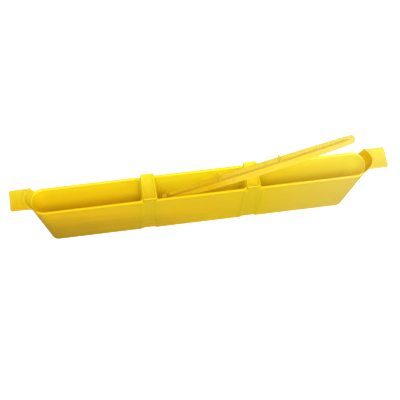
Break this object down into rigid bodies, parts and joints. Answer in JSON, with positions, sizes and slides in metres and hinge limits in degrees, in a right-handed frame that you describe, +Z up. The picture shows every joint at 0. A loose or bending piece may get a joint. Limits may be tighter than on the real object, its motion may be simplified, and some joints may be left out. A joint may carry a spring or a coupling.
{
  "type": "hanging three-bay trough with loose ribbed strip",
  "caption": "Long narrow yellow plastic trough with separate bays, a raised hanging lug at each end, raised bridges between the bays and a loose translucent ribbed strip with pegs.",
  "frame": {"origin": "centre of the flat underside of the middle bay, which is the middle of the trough's base", "axes": "+X along the trough towards the end that the loose strip points at, +Y to the far long side, +Z up, out of the bays' mouths"},
  "size_m": [0.482, 0.0377, 0.1404],
  "materials": {
    "trough_plastic": "satin moulded, slightly translucent yellow",
    "strip_plastic": "satin moulded, translucent pale yellow"
  },
  "bodies": {
    "trough": {"tub_left": "trough_plastic", "tub_middle": "trough_plastic", "tub_right": "trough_plastic", "bridge_left": "trough_plastic", "bridge_right": "trough_plastic", "lug_riser_left": "trough_plastic", "lug_plate_left": "trough_plastic", "lug_riser_right": "trough_plastic", "lug_plate_right": "trough_plastic"},
    "strip": {"strip_blade": "strip_plastic", "strip_rib": "strip_plastic", "strip_peg_low": "strip_plastic", "strip_peg_middle": "strip_plastic", "strip_peg_high": "strip_plastic"}
  },
  "joints": [
    {"name": "strip_lift", "type": "slide", "parent": "trough", "child": "strip", "axis": [0, 0, 1], "range_m": [0, 0.06]}
  ]
}
